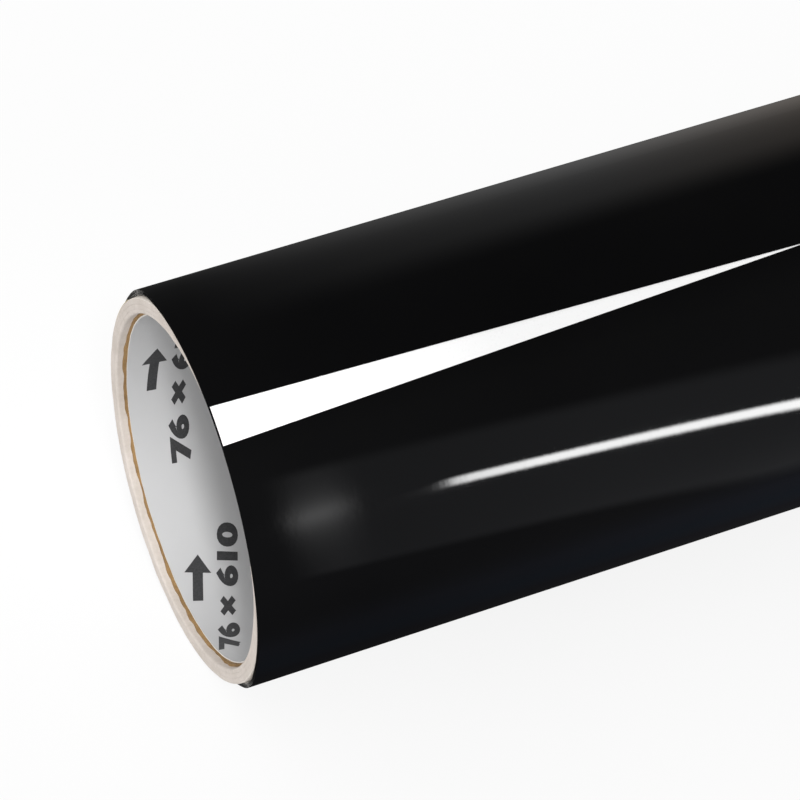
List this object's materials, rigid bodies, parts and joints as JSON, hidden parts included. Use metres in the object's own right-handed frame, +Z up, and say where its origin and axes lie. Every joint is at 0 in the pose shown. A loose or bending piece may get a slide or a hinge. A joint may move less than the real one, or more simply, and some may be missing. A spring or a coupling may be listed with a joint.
{
  "type": "roll of sign vinyl",
  "caption": "Short roll of glossy self-adhesive sign vinyl on a release liner, wound on a cardboard core, with a tail that lifts and a film edge that peels.",
  "frame": {"origin": "middle of the floor patch under the roll, which lies with its axis level", "axes": "+X along the roll's axis away from the end with the cut film corner, +Y away from the side where the tail ends, +Z up"},
  "size_m": [0.6106, 0.0876, 0.0877],
  "materials": {
    "printed_lining": "silver-grey coated paper, printed",
    "kraft": "bare kraft",
    "core_board": "bare cream paperboard",
    "core_facing": "smooth cream paper",
    "masking_tape": "creped paper tape",
    "release_liner": "white, silicone coated, satin",
    "vinyl_film": "high gloss"
  },
  "bodies": {
    "roll": {"core_lining": "printed_lining", "core_kraft_ply": "kraft", "core_board_ply_1": "core_board", "core_board_ply_2": "core_board", "core_board_ply_3": "core_board", "core_facing_ply": "core_facing", "core_tape": "masking_tape", "release_liner": "release_liner", "vinyl_film": "vinyl_film"},
    "tail": {"release_liner_tail": "release_liner", "vinyl_film_tail": "vinyl_film"},
    "peel": {"vinyl_film_peel_edge": "vinyl_film"}
  },
  "joints": [
    {"name": "tail_lift", "type": "hinge", "parent": "roll", "child": "tail", "pos_m": [0, 0.02029, 0.08276], "axis": [-1, 0, 0], "range_deg": [0, 80]},
    {"name": "film_peel", "type": "hinge", "parent": "tail", "child": "peel", "pos_m": [0, 0.00951, 0.08669], "axis": [-1, 0, 0], "range_deg": [0, 100]}
  ]
}
